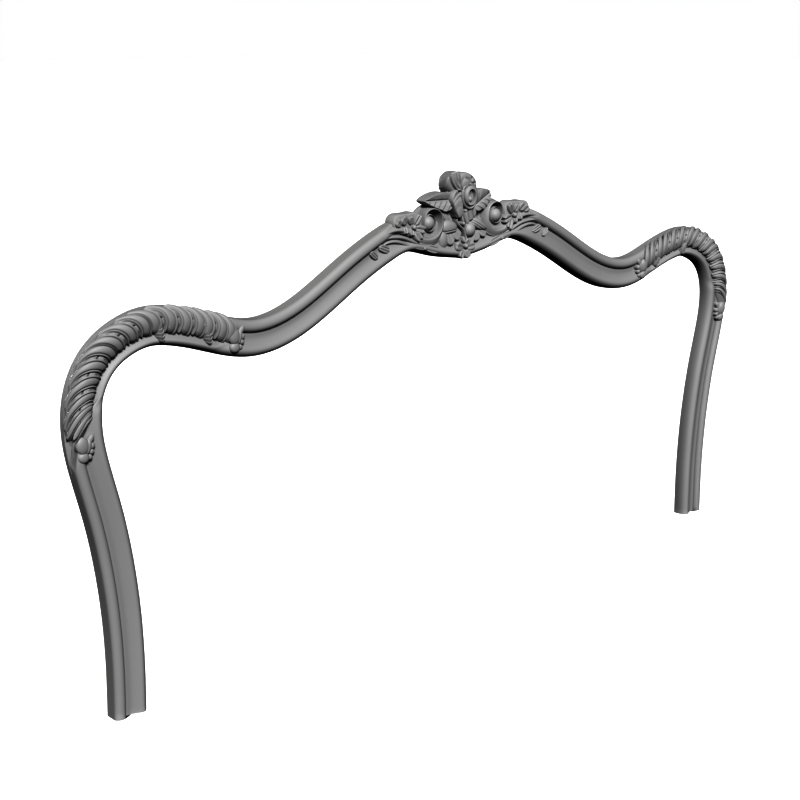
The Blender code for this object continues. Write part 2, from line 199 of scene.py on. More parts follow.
def close_up(mesh):
    """Merges the doubled points of seams and poles and turns the faces outwards."""
    shape = bmesh.new()
    shape.from_mesh(mesh)
    bmesh.ops.remove_doubles(shape, verts=shape.verts, dist=SEAM)
    bmesh.ops.recalc_face_normals(shape, faces=shape.faces)
    shape.to_mesh(mesh)
    shape.free()


def pull(rows, key, width, kind=float):
    """One value of every row of a mesh's list, as an array with a row each."""
    values = np.empty(len(rows) * width, kind)
    rows.foreach_get(key, values)
    return values.reshape(-1, width)


def hollowness(mesh):
    """How deep each point lies below its surroundings, from -1 on an edge to 1 in a groove.

    The surroundings are the mean of the neighbours, taken over the mesh several times. Their
    distance from the point along its normal is divided by a full groove's depth and cut off at -1
    and 1.
    """
    here = pull(mesh.vertices, "co", 3)
    normal = pull(mesh.vertex_normals, "vector", 3)
    ends = pull(mesh.edges, "vertices", 2, np.int32)
    count, (a, b) = len(here), ends.T
    valence = np.bincount(ends.ravel(), minlength=count)[:, None]
    blurred = here
    for _ in range(SMOOTHINGS):
        sums = [np.bincount(a, blurred[b, k], count) + np.bincount(b, blurred[a, k], count)
                for k in range(3)]
        blurred = np.stack(sums, axis=1) / valence
    depth = ((blurred - here) * normal).sum(axis=1)
    return np.clip(depth / FULL_GROOVE, -1, 1)


def link_new(name, data):
    """Makes an object of some data and links it to the scene."""
    made = bpy.data.objects.new(name, data)
    bpy.context.collection.objects.link(made)
    return made


def finish_piece(name, points, quads):
    """Makes the object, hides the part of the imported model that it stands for, and prints how many
    triangles it has: a face with n corners counts as n - 2."""
    mesh = bpy.data.meshes.new(name)
    fill_mesh(mesh, points, quads)
    close_up(mesh)
    mesh.shade_smooth()
    mesh.set_sharp_from_angle(angle=SHARP)
    # The hollow value later sets worn paint on edges, and pooled paint with painted shade in
    # grooves.
    mesh.attributes.new("hollow", "FLOAT", "POINT").data.foreach_set("value", hollowness(mesh))
    piece = link_new(name, mesh)
    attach(piece, "root")
    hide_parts(ONLAY)
    pieces.append(piece)
    print(name, len(mesh.loops) - 2 * len(mesh.polygons), "triangles")


def capped(rings):
    """Adds the cap at both ends of a row of closed rings, as a ring shrunk to its middle, and
    closes each ring by its first point."""
    first = np.broadcast_to(rings[:1].mean(axis=1, keepdims=True), rings[:1].shape)
    last = np.broadcast_to(rings[-1:].mean(axis=1, keepdims=True), rings[-1:].shape)
    rings = np.concatenate((first, rings, last))
    return np.concatenate((rings, rings[:, :1]), axis=1)


def shells(name, *bodies):
    """One piece from several closed bodies, each given as rings of points."""
    points, quads, first = [], [], 0
    for rings in bodies:
        grid = capped(rings)
        rows, columns = grid.shape[:2]
        points.append(grid.reshape(-1, 3))
        quads.append(grid_quads(rows, columns, first))
        first += rows * columns
    finish_piece(name, np.concatenate(points), np.concatenate(quads))


def mirrored(rings):
    """The same rings on the other side of the middle."""
    return rings * (-1, 1, 1)


# %% [markdown]
# ## The rail
# The rail is a board of beech or walnut about 57 mm wide, sawn to its waves and moulded with
# shaped planes: a round bead along the outer side, a fine quirk beside it, a shallow cove, and a
# round ridge along the inner side. It could be a curve object with a bevel profile, but the
# moulding changes on its way: it makes room for the ropes on the shoulders, and flattens to a
# ground under the crest. So the rail is a grid: a section's outline carried along the centre line,
# blended from outline to outline.

# %% Outlines of the moulding
RAIL_WIDTH = 0.057
# Distance from the outer side and height over the back, in mm: bead, then cove and ridge
plain_bead = [
    (0, 19), (0.6, 21.2), (2, 23.2), (4.2, 25), (7, 26.2), (10, 26.7), (13, 26.3),
    (15.8, 24.6), (17.8, 21.8), (18.7, 18.6),
]
plain_cove = [
    (18.7, 18.6), (21, 18.9), (25, 18.8), (29, 19.2), (33, 20.4), (37, 22),
    (41, 23.8), (44.5, 24.9), (48, 24.6), (51.2, 22.6), (53.8, 19.5), (55.5, 15.5),
    (57, 0.5),
]
bed_bead = [
    (0, 10), (3, 13), (9, 17), (16, 18.6), (23, 18.8), (31, 17.6), (37, 17.4),
]
bed_cove = [
    (37, 17.4), (40, 18.6), (44, 21.2), (47.5, 22.8), (50.5, 21.6), (53.2, 18.2),
    (54.9, 14.5), (57, 0.5),
]
crown_bead = [
    (0, 13), (2, 15.5), (5, 16.5), (9, 17), (12.5, 17), (15.5, 17), (18.5, 17),
]
crown_cove = [
    (18.5, 17), (20.5, 17), (25, 17.2), (30, 17.8), (36, 19.6), (41, 22.6),
    (45.5, 24.8), (48.5, 24.3), (51.2, 22), (53.4, 18.6), (54.9, 14.5), (57, 0.5),
]
BEAD_STEPS, COVE_STEPS, WALL_STEPS = 22, 38, 4


def outline(bead, cove):
    """Two battens that meet in a corner, between two upright walls. A wall's point is its upper
    corner, the height taken times 0 to 1."""
    parts = []
    for marks, steps in ((bead, BEAD_STEPS), (cove, COVE_STEPS)):
        line = Batten(np.array(marks) * MM)
        parts.append(line.at(np.linspace(0, line.total, steps)))
    front = np.concatenate((parts[0], parts[1][1:]))
    rise = np.linspace(0, 1, WALL_STEPS + 1)[:-1, None] * (0, 1) + (1, 0)
    return np.concatenate((front[0] * rise, front, front[-1] * rise[::-1]))


plain = outline(plain_bead, plain_cove)
bed = outline(bed_bead, bed_cove)
crown = outline(crown_bead, crown_cove)

# %% Where the ropes and the crest begin
ROPE_FROM, ROPE_TO = (-0.715, 0.398), (-0.474, 0.535)
ROPE_WIDTH = 0.0385     # from the outer side to the strands' ends
CROWN_FROM, CROWN_RUN_IN = 0.17, 0.035


def advance(across, share):
    """How far a strand runs along the rail on its way across: reach * f - sooner * (0.89 - f),
    f being 1 - (1 - across) ^ bend.

    Along the rope the reach falls from 58 mm to 36 mm, and the bend grows from 1.9 to 3.2. The
    first strands also begin up to 16 mm sooner.
    """
    bend = 3.2 - 1.3 * np.exp(-share / 0.15)
    reach = 0.036 + 0.022 * np.exp(-share / 0.16)
    sooner = 0.018 * np.exp(-share / 0.2)
    f = 1 - (1 - np.clip(across, 0, 1)) ** bend
    return reach * f - sooner * (0.89 - f)


rope_start = half_line.nearest(ROPE_FROM)
rope_end = half_line.nearest(ROPE_TO) - advance(1, 1)
print("a rope takes", round(rope_end - rope_start, 3), "m of the rail")


# %% The rail's surface
RING_STEP = 0.003
BED_LATER, BED_LONGER = 0.006, 0.004     # against the strands' own start and end
UPRIGHT_RUN = 0.05


def on_rail(length, outward, height):
    """centre line(length) + (half the width - outward) to the left of the way, at a height."""
    point = half_line.at(length) + half_line.left(length) * (RAIL_WIDTH / 2 - outward)[..., None]
    return place(point[..., 0], point[..., 1], height)


def half_rail():
    """Ring s of the rail is plain + begun(s) * ended(s) * (bed - plain), then moved towards the
    crown's outline.

    Over the last stretch the rings turn upright, so that the last one lies in the middle plane.
    """
    count = int(half_line.total / RING_STEP)
    s = np.linspace(0, half_line.total, count)[:, None]
    across = plain[:, 0] / ROPE_WIDTH
    run_in = 0.014 + 0.02 * np.clip(across, 0, 1)
    begun = smoothstep((s - advance(across, 0) - rope_start - BED_LATER) / run_in)
    ended = smoothstep((rope_end + BED_LONGER - s + advance(across, 1)) / run_in)
    shape = plain + (begun * ended)[..., None] * (bed - plain)
    out = -half_line.at(s)[..., 0]
    crowned = smoothstep((CROWN_FROM - out) / CROWN_RUN_IN)[..., None]
    shape = shape + crowned * (crown - shape)
    rings = on_rail(s, shape[..., 0], shape[..., 1])
    rings[0, :, 2] = -CROWN
    upright = smoothstep((s - half_line.total + UPRIGHT_RUN) / UPRIGHT_RUN)
    rings[..., 0] -= upright * (rings[..., 0] + out)
    return rings


left_rail = half_rail()
shells("rail", np.concatenate((left_rail, mirrored(left_rail[-2::-1]))))

# %% [markdown]
# ## The ropes
# Over each shoulder the moulding swells into a thick rope. A carver marks the slanting strands,
# cuts a stop along both sides of each, and rounds them with a gouge. Most gaps are wide enough for
# a leaf-shaped pocket with a little nub and a deep nick, with a fine bead along each side; every
# few strands a gap is narrow and holds only the two beads. Real twisted strands could be swept
# along a helix, but this rope is carved in relief: its strands start along the outer side, turn
# over the top and end like fingertips on the inner side. So the rope is one surface, a depth under
# an outline, on a grid that follows the strands and keeps beads and grooves crisp.

# %% The rope's own section and its strands
rope_marks = np.array([
    (-0.4, 8), (-0.8, 12.5), (-0.8, 18), (0.6, 23.8), (4.4, 28.4), (10, 31),
    (16, 31.8), (22, 31.2), (28, 29.4), (33, 27), (36.6, 24.4), (39.2, 21.4),
]) * MM
rope_outline = Batten(rope_marks)
ROPE_MIDDLE = np.array((0.019, 0.012))

NARROW, STRAND = 4.8, 12.5     # mm along the rail
gap_widths = np.array([
    NARROW, NARROW, 13, 15.5, 15.5, 15.5, NARROW, 16.5, 15.5, NARROW, 17.5, 16.5, 15.5, NARROW,
    17, NARROW, NARROW,
])
strand_count = len(gap_widths) - 1
gap_middles = np.cumsum(gap_widths + STRAND) - STRAND - gap_widths / 2
squeeze = (rope_end - rope_start) / (gap_middles[-1] * MM)
print(strand_count, "strands, squeezed by", round(squeeze, 3))


def rope_surface(across):
    """The outline at a share of its length, and the unit vector from there to the rope's middle."""
    point = rope_outline.at(across * rope_outline.total)
    inward = ROPE_MIDDLE - point
    return point, inward / np.linalg.norm(inward, axis=-1)[..., None]


# %% Gaps
# Depths in mm at even steps from one strand to the next: groove, bead, floor, groove, bead, groove
pocket_depths = [1.8, 3, 1.5, 0.8, 0.6, 0.7, 1.2, 2.3, 3.1, 3.2, 3.2, 3.4, 4.2, 4.4, 3, 1.2,
                 0.6, 0.7, 1.4, 3.2, 1.8]
narrow_depths = [1.8, 3, 1.5, 0.7, 1.2, 2.4, 1.3, 0.7, 1.5, 3.2, 1.8]
# How far before the inner side each step of a gap ends, as a share of the way across
gap_ends = [0.05, 0.02, 0, 0, 0, 0, 0.01, 0.04, 0.08, 0.11, 0.13]
# The rope's side is plain and this deep up to a share of the way, where gaps and fingertips begin
SIDE_DEPTH, SIDE_SHARE = 1.2, 0.13


def gap_reach(across, width):
    """Half the width of a gap: it opens from 0.5 to 1 of its width over a third of the way."""
    return width / 2 * (0.5 + 0.5 * smoothstep((across - 0.04) / 0.3))


def gap_depth(step, across, width):
    """Narrow depths, turning into pocket depths where a wide gap opens, plus nick less nubs."""
    opened = smoothstep((across - 0.16) / 0.16) * smoothstep((width - NARROW) / 4)
    inside = smoothstep((step - 0.27) / 0.1) * smoothstep((0.66 - step) / 0.08) * opened
    depth = graded(narrow_depths, step) * (1 - opened) + graded(pocket_depths, step) * opened
    begun = smoothstep((across - SIDE_SHARE) / 0.04)
    depth = SIDE_DEPTH + begun * (depth - SIDE_DEPTH)
    nick = 4.8 * bell(across, 0.505, 0.019)
    nubs = 2 * bell(across, 0.37, 0.085) + 1.2 * bell(across, 0.66, 0.08)
    return depth + inside * (nick - nubs)


# %% Strands
def strand_depth(step, across):
    """1.8 * (1 - top), top being a round over the strand's width.

    The strand starts with a fingertip that stands 2.2 mm out, 0.05 of the way sooner in its middle
    than at its sides, and sinks back over the next 0.30.
    """
    top = round_top(2 * step - 1, 2.3)
    begun = smoothstep((across - SIDE_SHARE + 0.05 * top) / 0.03)
    body = 1.8 * (1 - top) - 2.2 * top * (1 - smoothstep((across - 0.12) / 0.3))
    return SIDE_DEPTH + begun * (body - SIDE_DEPTH)


def strand_end(step):
    """A strand ends like a fingertip: 0.13 short on its lower side, 0.02 in its upper third."""
    return 0.02 + 0.11 * (1 - step) ** 1.4 + 0.03 * smoothstep((step - 0.8) / 0.2)


# %% Rows of the rope
SUNK = 7     # mm under the outline, where rows stay hidden in the rail
HIDDEN_SHARE, HIDDEN_RUN = 0.34, 0.026
TIP_DROP, TIP_SHARE = 4.2 * MM, 0.16
ROPE_FEET, FOOT_HEIGHT = np.array((0.034, 0.004)), 0.008     # both inside the rail's wood


def rope_patch(low, high, steps, depth, short, blunt):
    """Rows of the rope between two lines along the rail, given in mm from the rope's start.

    Row u lies at s = start + low + u * (high - low) + advance(v), v being the share of the way
    across. The outline at v * (1 - short) is moved inwards by the depth, and rounded off at its
    end. The first rows stay sunk in the rail up to a share of the way that falls from 0.34.
    """
    along = (low + steps * (high - low)) * squeeze * MM
    late = HIDDEN_SHARE * bell(along, 0, HIDDEN_RUN) * (1 + 0.3 * blunt * (2 * steps - 1) ** 2)
    depth = depth + SUNK * smoothstep(late / 0.1) * (1 - smoothstep((across - late) / 0.05))
    reach = across * (1 - short * smoothstep((across - 0.55) / 0.45))
    point, inward = rope_surface(reach)
    fade = smoothstep((across - 0.01) / 0.08) * MM
    point = point + (fade * depth)[..., None] * inward
    rounding = np.clip((across - 1 + TIP_SHARE) / TIP_SHARE, 0, 1)
    tip = TIP_DROP * blunt * (1 - round_top(rounding))
    s = rope_start + along + advance(across, along / (rope_end - rope_start))
    top = on_rail(s, point[..., 0], point[..., 1] - tip)
    feet = on_rail(s[:, [-1, 0]], ROPE_FEET, FOOT_HEIGHT)
    return np.concatenate((top, feet), axis=1)


# %% The whole rope
ROWS_ACROSS = 78
WIDE_ROWS, NARROW_ROWS, STRAND_ROWS = 41, 19, 22
across = np.linspace(0, 1, ROWS_ACROSS)[None, :] ** 0.95     # closer at the inner side


def steps_to_next(count):
    """Even steps from 0, without the 1 at which the next patch starts."""
    return np.linspace(0, 1, count + 1)[:-1, None]


def rope_rows():
    """Gap, strand, gap, strand, ... and a last gap."""
    rows = []
    for k, width in enumerate(gap_widths):
        half = gap_reach(across, width)
        step = steps_to_next(NARROW_ROWS if width == NARROW else WIDE_ROWS)
        rows.append(rope_patch(gap_middles[k] - half, gap_middles[k] + half, step,
                               gap_depth(step, across, width), graded(gap_ends, step), blunt=0.2))
        if k < strand_count:
            following = gap_reach(across, gap_widths[k + 1])
            step = steps_to_next(STRAND_ROWS)
            rows.append(rope_patch(gap_middles[k] + half, gap_middles[k + 1] - following, step,
                                   strand_depth(step, across), strand_end(step), blunt=1))
    return np.concatenate(rows)


left_rope = rope_rows()
shells("rope_left", left_rope)
shells("rope_right", mirrored(left_rope))

# %% [markdown]
# ## Bars and blocks
# All that grows on the crown and beside the ropes is cut from two kinds of form. A bar follows a
# line and has a section: a stalk, a scroll's band, a husk. A block stands on an outline with a
# straight wall, as a fretsaw leaves it, and only its front is carved: a petal, a leaf, a ball.
# Sculpting by hand would also do, but as formulas both halves of the crest come out as true mirror
# images.

# %% Bars
def bar(marks, left, right, front, rows, columns=23, back=2):
    """Rings of a bar along a batten, all in mm.

    The point (share, t) is line(share) + t * width to the left of the way, with the graded widths
    left for t above 0 and right below 0, at height front(share, t). Its sides drop to the back.
    """
    line = Batten(marks)
    share = np.linspace(0, 1, rows)[:, None]
    t = np.sin(np.linspace(-pi / 2, pi / 2, columns))
    width = np.where(t > 0, graded(left, share), graded(right, share))
    length = share * line.total
    points = (line.at(length) + line.left(length) * (t * width)[..., None]) * MM
    height = front(share, t) + 0 * points[..., 0]
    top = place(points[..., 0], points[..., 1], height * MM)
    foot = top[:, [-1, 0]] * (1, 0, 1) - (0, back * MM, 0)
    return np.concatenate((top, foot), axis=1)


def cord_bar(marks, widths, tops, foot, fullness=2, back=2, rows=60):
    """A bar with a round top: height = foot + (top - foot) * round_top(t)."""
    half = [width / 2 for width in widths]

    def front(share, t):
        top = graded(tops, share)
        return foot + (top - foot) * round_top(t, fullness)
    return bar(marks, half, half, front, rows, back=back)


# %% Blocks
def closed_edge(marks, spokes):
    """A smooth closed outline: the middle third of a batten bent three times round the marks."""
    line = Batten(list(marks) * 3 + [marks[0]])
    knots = line.knots[[len(marks), 2 * len(marks)]]
    start, end = np.interp(knots, line.fine, line.lengths)
    return line.at(np.linspace(start, end, spokes + 1)[:-1])


def block(middle, edge, front, rings, spokes, back=2, bowl=1):
    """Rings of a block round its middle, all in mm.

    The point (r, a) is middle + r * (edge(a) - middle), at height front(r, out, up). The rings
    crowd towards the edge, r = 1 - (1 - share) ^ 1.6. From there the wall drops to the back; at a
    share d of the way it has narrowed to bowl + (1 - bowl) * sqrt(1 - d * d).
    """
    middle = np.array(middle, float)
    rim = closed_edge(edge, spokes)
    r = 1 - (1 - np.linspace(0, 1, rings + 1)[1:, None]) ** 1.6
    points = middle + r[..., None] * (rim - middle)
    height = front(r, points[..., 0], points[..., 1]) + 0 * points[..., 0]
    d = np.linspace(0, 1, 2 if bowl == 1 else 10)[1:, None]
    wall = middle + (bowl + (1 - bowl) * np.sqrt(1 - d * d))[..., None] * (rim - middle)
    points = np.concatenate((points, wall))
    height = np.concatenate((height, height[-1:] * (1 - d) + back * d))
    return place(points[..., 0] * MM, points[..., 1] * MM, height * MM)


def oval(middle, radii, turn=0, count=12):
    """Marks of an oval outline: middle + radii * (cos, sin), turned by some degrees."""
    a = np.arange(count) * tau / count
    x, y = radii[0] * np.cos(a), radii[1] * np.sin(a)
    c, s = np.cos(radians(turn)), np.sin(radians(turn))
    return [(middle[0] + p * c - q * s, middle[1] + p * s + q * c) for p, q in zip(x, y)]


def flat(height):
    """The front of a plain ground: the same height everywhere."""
    return lambda r, out, up: height


def knob(middle, radius, top, back=4):
    """A ball that stands half out of the carving: top - radius * (1 - sqrt(1 - r * r))."""
    return block(middle, oval(middle, (radius, radius)),
                 lambda r, out, up: top - radius * (1 - round_top(r)), 10, 36, back=back)


def rolled(r, share, drop):
    """How far a rolled edge has dropped: drop * (1 - sqrt(1 - x * x)) over the outer share of r."""
    x = np.clip((r - (1 - share)) / share, 0, 1)
    return drop * (1 - np.sqrt(1 - x * x))


def petal(base, tip, width, heights, lobe=2.2, notch=0.14):
    """A plump petal of two lobes, from its base to its tip, in mm.

    Its own measures are u, 0 at the base and 1 at the tip, and v, -1 to 1 across. The outline is an
    oval, fuller and notched towards the tip. The front is at the base height + (tip height - base
    height) * u + lobe * |sin(180° * v)| ^ 0.8, so that it creases in the middle, less the rolled
    edge. The lobes fade in from the base.
    """
    base, tip = np.array(base, float), np.array(tip, float)
    way = tip - base
    length = np.linalg.norm(way)
    way /= length
    side = np.array((-way[1], way[0]))
    a = np.arange(18) * tau / 18 + tau / 36
    u = (1 - np.cos(a)) / 2
    v = np.sin(a) * (0.7 + 0.3 * u)
    u = u * (1 - notch * bell(v, 0, 0.22) * (u > 0.5))
    marks = base + u[:, None] * length * way + v[:, None] * width / 2 * side

    def front(r, out, up):
        along = ((out - base[0]) * way[0] + (up - base[1]) * way[1]) / length
        across = ((out - base[0]) * side[0] + (up - base[1]) * side[1]) / (width / 2)
        swell = np.abs(np.sin(pi * np.clip(across, -1, 1))) ** 0.8
        swell = swell * smoothstep(along / 0.35 + 0.2)
        rise = (heights[1] - heights[0]) * along
        return heights[0] + rise + lobe * swell - rolled(r, 0.35, 4.5)
    return block(base + 0.55 * length * way, marks, front, 16, 72)


def pair(name, *bodies):
    """The same bodies as one piece on the left, where they are mirrored, and as one on the right.
    They are drawn on the right, where out is positive."""
    shells(name + "_left", *[mirrored(body) for body in bodies])
    shells(name + "_right", *bodies)


# %% [markdown]
# ## The scrolls
# A scroll is one band that curls in on itself. It comes as the rail's own bead, runs under the
# flowers, swings up beside the rose, and winds one turn and three quarters round a ball. Its ridge
# doesn't stay in its middle: it starts along the lower edge, and wanders outwards and back as the
# band turns, so that the scroll looks like a shell. So the band is a bar whose widths and feet
# differ on its two sides.

# %% A scroll's band and ball
scroll_marks = [
    (214, 636), (196, 648), (174, 657.5), (150, 661), (127, 656), (108, 647.5), (94, 642),
    (80, 640.2), (66, 643.5), (56.5, 652.5), (53, 667), (57, 681), (72, 688.5), (85, 684),
    (90, 671.5), (88, 660), (79, 653), (69.5, 655), (64.5, 662.5), (65.5, 671.5), (72, 678.5),
    (80, 678), (85, 671),
]
# At even steps along the band, in mm: widths on both sides of the ridge, heights of the ridge, and
# the heights at which the two sides end
scroll_outer = [1.5, 3, 4.5, 5, 4, 3.4, 3.2, 3.2, 7, 15, 19, 15, 10, 7, 5, 3.5, 2.8, 2.6, 2.4, 2.2,
                2.2, 2.2, 1.6]
scroll_inner = [2, 4, 6, 8, 9, 10, 12, 13, 11, 8, 6, 4.5, 4, 3, 2.6, 2.4, 2.2, 2, 1.8, 1.6, 1.6,
                1.6, 1.4]
scroll_tops = [24, 26, 26.5, 26, 25.5, 25.5, 25.5, 25.5, 25.5, 26, 26, 26.5, 27, 27, 26.5, 25.5,
               24.5, 23.5, 23, 22.5, 22, 21.5, 20]
scroll_outer_foot = [17, 16, 16, 16, 18, 20, 20, 20, 16, 9, 5, 6, 8, 9, 8, 7] + 7 * [6]
scroll_inner_foot = [19, 18, 17, 17, 17, 17, 17, 17, 16, 12, 8] + 12 * [6]


def scroll_front(share, t):
    """Outside the ridge foot + (top - foot) * sqrt(1 - |t| ^ 1.7), a round; inside it foot + (top -
    foot) * (1 - t * t) squared, a soft ridge that runs out into a flat floor."""
    top = graded(scroll_tops, share)
    outer = graded(scroll_outer_foot, share)
    inner = graded(scroll_inner_foot, share)
    outside = outer + (top - outer) * round_top(t, 1.7)
    inside = inner + (top - inner) * (1 - t * t) ** 2
    return np.where(t > 0, outside, inside)


scroll_band = bar(scroll_marks, scroll_outer, scroll_inner, scroll_front, rows=380, columns=45)
scroll_floor = block((74, 667), oval((73, 667), (30, 27)), flat(5), 3, 72, back=1.2)
pair("scroll", scroll_band, scroll_floor, knob((77.5, 666), 12, 27, back=3))

# %% [markdown]
# Two reeds run below the scroll, cut side by side with a hollow between them. The upper one ends
# in a point under the scroll and the lower one in a small shell. Two curled leaflets grow where
# they begin.

# %% Reeds, shells and sprigs
reed_one = cord_bar(
    [(206, 634), (190, 643), (172, 650), (154, 650.5), (136, 647.8), (121, 642.3), (105, 636.4),
     (84, 632.6), (66, 633.5), (54, 639.5), (46, 649)],
    [3, 6, 7, 7.5, 8, 8, 7.5, 7, 6, 4.5, 2],
    [21, 23, 24.5, 24.5, 24.5, 24.5, 24.5, 24, 23.5, 22, 19], 16, rows=170)
reed_two = cord_bar(
    [(184, 637), (168, 643), (148, 642.6), (131, 637.2), (114, 630.8), (97, 625.8), (83, 624.2)],
    [3, 6.5, 8, 8, 7.5, 7, 5.5], [20, 23, 24, 24, 24, 24, 23], 15.5, rows=130)


def ribbed_leaflet(base, tip, width):
    """A small leaf with three ribs along it, v being the place across from -1 to 1:
    24.5 - 1.5 * (1 - |sin(90° * 3 * (v + 1))|), less the rolled edge."""
    base, tip = np.array(base, float), np.array(tip, float)
    way = tip - base
    middle, length = (base + tip) / 2, np.linalg.norm(way)
    turn = np.degrees(np.arctan2(way[1], way[0]))

    def front(r, out, up):
        v = ((up - base[1]) * way[0] - (out - base[0]) * way[1]) / length / (width / 2)
        rib = np.abs(np.sin(pi / 2 * 3 * (v + 1)))
        return 24.5 - 1.5 * (1 - rib) - rolled(r, 0.25, 3.5)
    return block(middle, oval(middle, (length / 2, width / 2), turn), front, 26, 60)


shell = ribbed_leaflet((88, 628), (57, 619), 15)
sprig_one = ribbed_leaflet((166, 630), (188, 639), 13)
sprig_two = ribbed_leaflet((191, 620), (206, 633), 11)
pair("reeds", reed_one, reed_two, shell, sprig_one, sprig_two, knob((90, 626.5), 3.4, 26))

# %% [markdown]
# ## The sprays
# A wild flower leans out from each scroll. Its petals are cut as leaves with a crease, around a
# little ball, and the wood behind them is left standing as a block with straight walls.

# %% A spray
spray_ground = block(
    (126, 668),
    [(97, 662), (103, 650), (116, 648), (134, 653), (150, 660), (156, 667), (156, 677), (150, 684),
     (140, 686), (124, 686), (107, 686), (97, 677)],
    lambda r, out, up: 22.5 - rolled(r, 0.1, 2), 8, 72, back=1.5)
spray = [petal(*row) for row in (
    ((114, 664), (103, 684), 15, (23, 27.5), 2.6, 0.1),
    ((119, 666), (125, 682), 14, (23, 27)),
    ((130, 669), (142, 681), 19, (24.5, 27.5), 1.3),
    ((141, 667), (153, 676), 17, (24, 26.5), 1.3),
    ((114, 662), (90, 656), 17, (23, 27.5), 2.2, 0.2),
    ((113, 658), (101, 640), 18, (22.5, 28), 2.6, 0.22),
    ((119, 664), (120, 649), 13, (23, 26.5)),
    ((132, 667), (133, 653), 13, (22, 26), 1.8),
)]
pair("spray", spray_ground, *spray, knob((116.5, 663.5), 4.2, 31))

# %% [markdown]
# ## The rose
# The rose leans to the left and is the deepest carving of the piece. Its bud is a dark hollow with
# a nub, wrapped by thick curled lips. Broad petals spread behind: the one on the upper left bulges
# outwards and shows its whole side, the lower ones hang down in folds. Each petal is its own
# block, and the lips are bars laid over them.

# %% The rose's petals
rose_ground = block(
    (-6, 702),
    [(-36, 718), (-34, 730), (-26, 738), (-16, 738), (-2, 739), (10, 733), (19, 722), (20, 706),
     (21, 684), (13, 668), (0, 663), (-17, 672), (-27, 688), (-33, 702)],
    flat(17), 3, 96, back=1.6)


def upper_left(r, out, up):
    """A lip from the top to the lower right, d being the distance to its right.

    Left of it the side drops by 5 mm at once and then rounds away by 17 mm. Right of it the petal
    hollows by 4.5 mm, with one fold at d = 9.5 and a gap at d = 15.5.
    """
    fall = np.clip((743 - up) / 26, 0, 1.2)
    d = out + 37.5 - 13 * fall ** 2.3
    rounded = 1 - round_top(np.clip((-d - 1) / 15, 0, 1))
    side = 31 - 5 * smoothstep(-d / 2) - 17 * rounded
    face = 31 - 4.5 * smoothstep(d / 4) + 3.2 * bell(d, 9.5, 2.6) - 3 * bell(d, 15.5, 1.6)
    return np.where(d < 0, side, face) - rolled(r, 0.1, 3)


def upper_right(r, out, up):
    """A round petal with a rolled rim, and a nub between three holes."""
    height = 31 - 0.009 * ((out - 3) ** 2 + (up - 727) ** 2)
    for hole_out, hole_up in ((9.5, 733), (16.5, 724.5), (6.5, 719.5)):
        height = height - 6 * bell(np.hypot(out - hole_out, up - hole_up), 0, 1.6)
    height = height - 1.8 * bell(np.hypot(out + 4, up - 724), 9, 2.4)
    return height - rolled(r, 0.18, 7)


def lower_left(r, out, up):
    """Three steps that look like petals lying over each other, with a raised lip along their left.

    Each step is a sudden drop of 2.2 mm along a curved line, and a slow rise of 1.6 mm after it.
    """
    step = up - 0.3 * (out + 25) + 0.03 * (out + 14) ** 2
    height = 28.5
    for line, run in ((711.5, 7), (703.5, 9)):
        drop = 2.2 * smoothstep((line - step) / 1.2)
        height = height - drop + 1.6 * smoothstep((line - 1 - step) / run)
    lip = bell(r, 0.9, 0.07) * smoothstep((-17 - out - 0.45 * (690 - up)) / 6)
    return height + 1.8 * lip - rolled(r, 0.1, 3)


def lower_right(r, out, up):
    """Hanging folds: 28 - 3 * (1 - |cos| ^ 0.7 of the place across), lower to both sides."""
    fold = np.abs(np.cos((out + 0.3 * (up - 670) - 2) * 0.26)) ** 0.7
    return 28 - 3 * (1 - fold) - 0.1 * np.abs(out - 4) - rolled(r, 0.22, 5)


def inner_petal(r, out, up):
    """The petal that wraps the bud: 30.5 mm high at its edge, 3.5 mm hollow towards the bud."""
    return 30.5 - 3.5 * smoothstep((0.86 - r) / 0.14) - rolled(r, 0.16, 5)


def bud_ring(r, out, up):
    """The bud's curled rim round its hole, which lies low and to the left: q is 1 at its edge."""
    q = np.hypot((out - 6.4) / 8.2, (up - 702.5) / 11.6)
    return 34.3 - 15 * smoothstep((1.16 - q) / 0.3) - rolled(r, 0.42, 5.5)


petals = [
    block((-23, 723), [(-40.5, 716), (-43.5, 725), (-41.5, 736), (-34, 743.5), (-25, 746.6),
                       (-17.5, 743), (-15, 731), (-15, 719), (-22, 711.5), (-32, 711.5)],
          upper_left, 44, 130, bowl=0.86),
    block((2, 724), [(-17.5, 739), (-10, 743.5), (1, 743), (11, 739), (20, 731), (25, 721.5),
                     (24, 711), (14, 704), (0, 704), (-13, 710), (-18, 720), (-19, 731)],
          upper_right, 44, 130, bowl=0.9),
    block((-23, 697), [(-26, 716.5), (-34, 711.5), (-38, 702), (-32.5, 690), (-26, 678.5),
                       (-20, 669.8), (-12.5, 670.5), (-7, 678), (-7, 687), (-8, 696), (-9, 705),
                       (-10, 713), (-17, 718)],
          lower_left, 40, 130),
    block((-14.5, 680.5), oval((-14.5, 680), (9.4, 11), 15),
          lambda r, out, up: 24.5 + 3.6 * round_top(r, 3), 16, 60),
    block((9, 671.5), [(-5, 681), (3, 683), (13, 686), (23, 684), (27, 677), (24, 669), (16, 664.5),
                       (7, 660.5), (-1.5, 658), (-6, 664.5), (-6, 674)],
          lower_right, 32, 120, bowl=0.9),
    block((3, 702), [(-6, 724), (-12.5, 716), (-12.8, 704), (-8.5, 691.5), (-1, 683.5), (8, 681),
                     (16, 684), (22, 692), (24, 704), (21, 716), (12, 724), (3, 727)],
          inner_petal, 30, 120),
    block((7.2, 704.5), oval((7.2, 704.6), (15.2, 16.8), 8), bud_ring, 34, 110),
]
